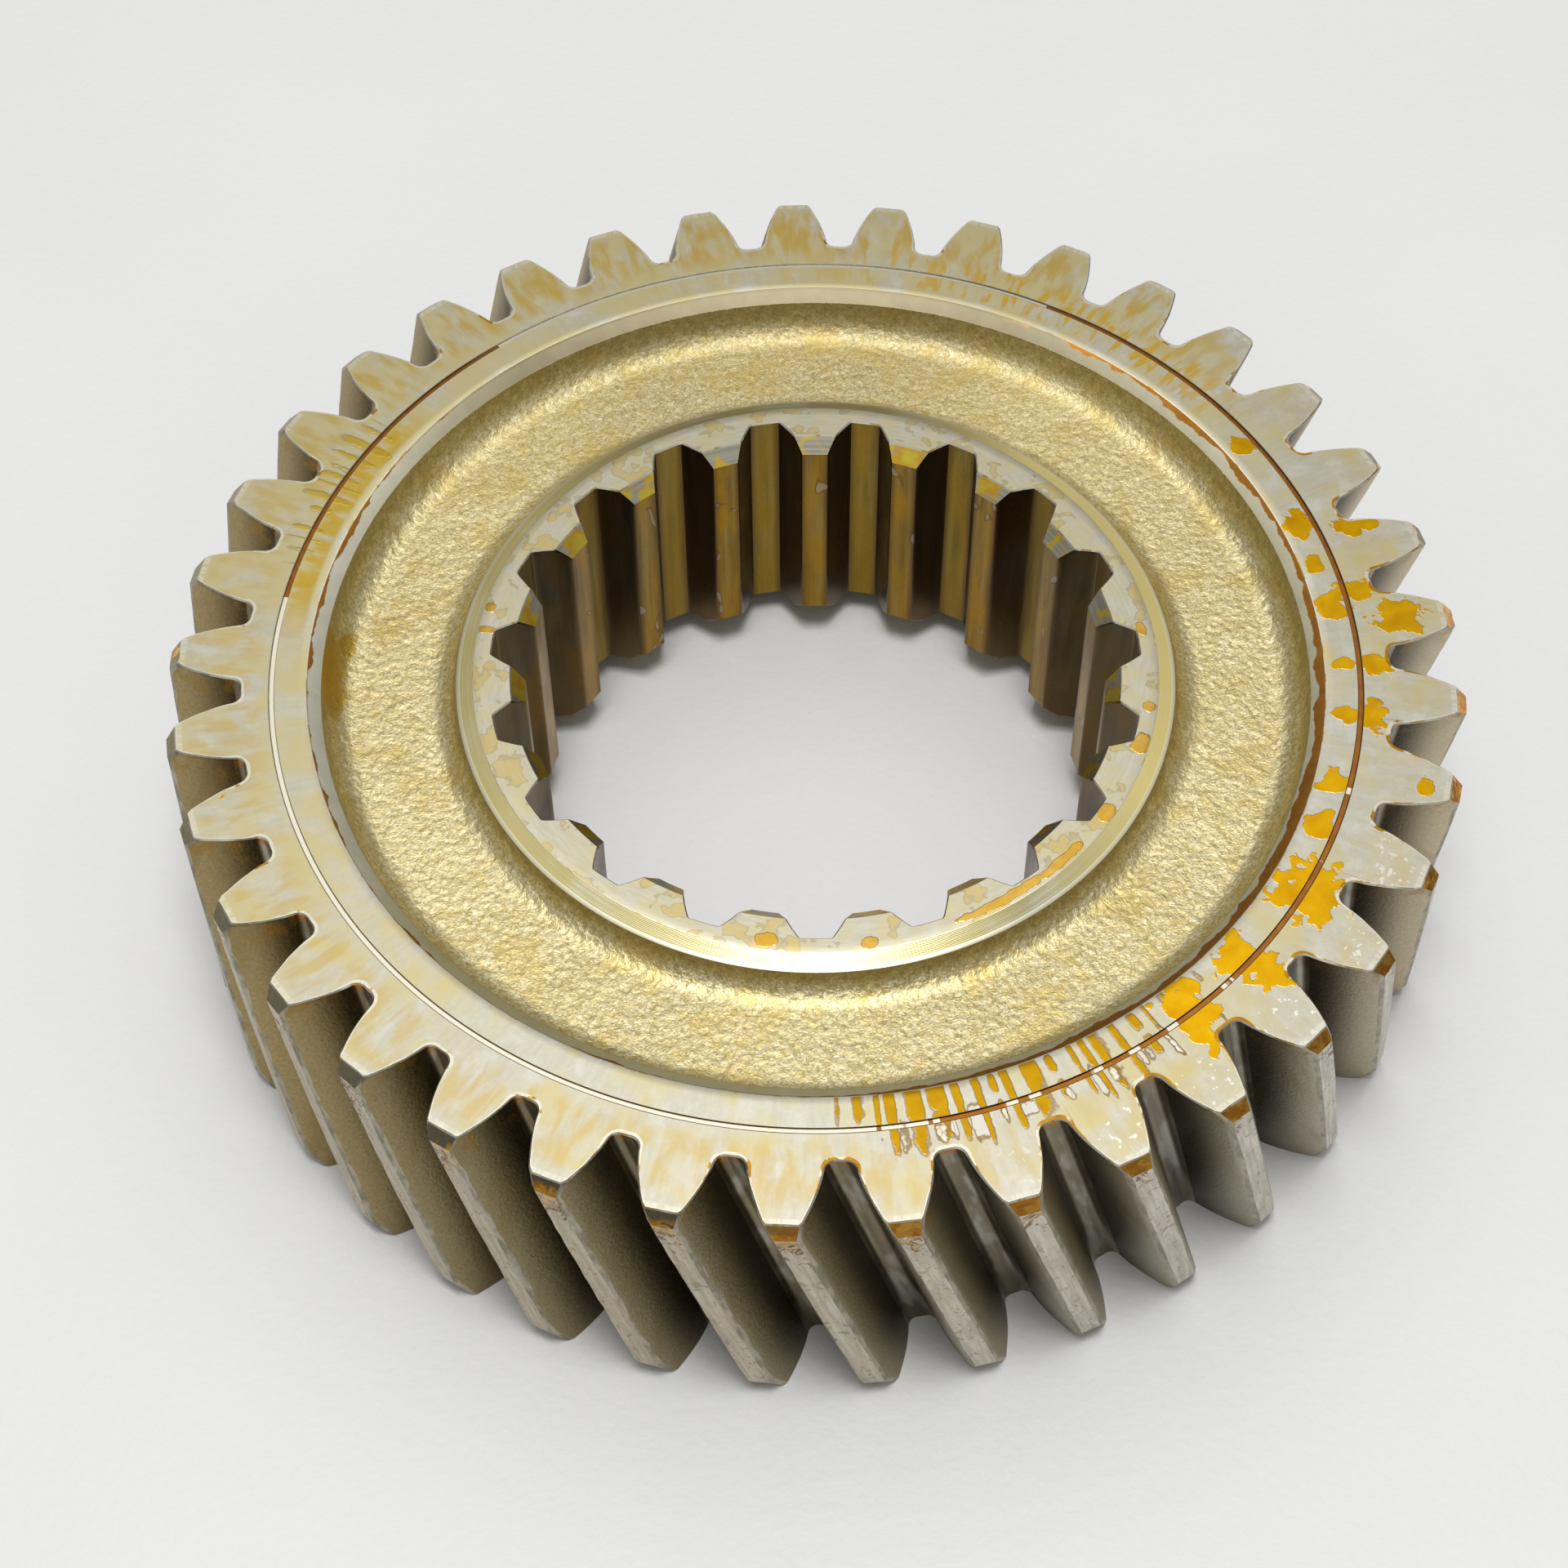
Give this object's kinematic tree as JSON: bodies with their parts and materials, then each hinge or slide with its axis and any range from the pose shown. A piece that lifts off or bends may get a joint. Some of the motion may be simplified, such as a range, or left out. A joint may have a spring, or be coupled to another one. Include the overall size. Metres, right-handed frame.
{
  "type": "splined helical gear",
  "caption": "Left-hand helical gearbox gear with a straight involute spline in its bore, forged web recesses on both sides and a thin ring turned in the upper rim face.",
  "frame": {"origin": "centre of the lower rim face, on the gear's axis; the gear stands on that face", "axes": "+Z is the gear's axis, towards the face with the turned ring; a space of the internal spline is centred on +X, and at the upper rim face a tooth is centred 0.174 degrees clockwise of +X"},
  "size_m": [0.1624, 0.1624, 0.042],
  "materials": {
    "machined_steel": "machined and oiled"
  },
  "bodies": {
    "root": {"helical_gear": "machined_steel"}
  },
  "joints": []
}
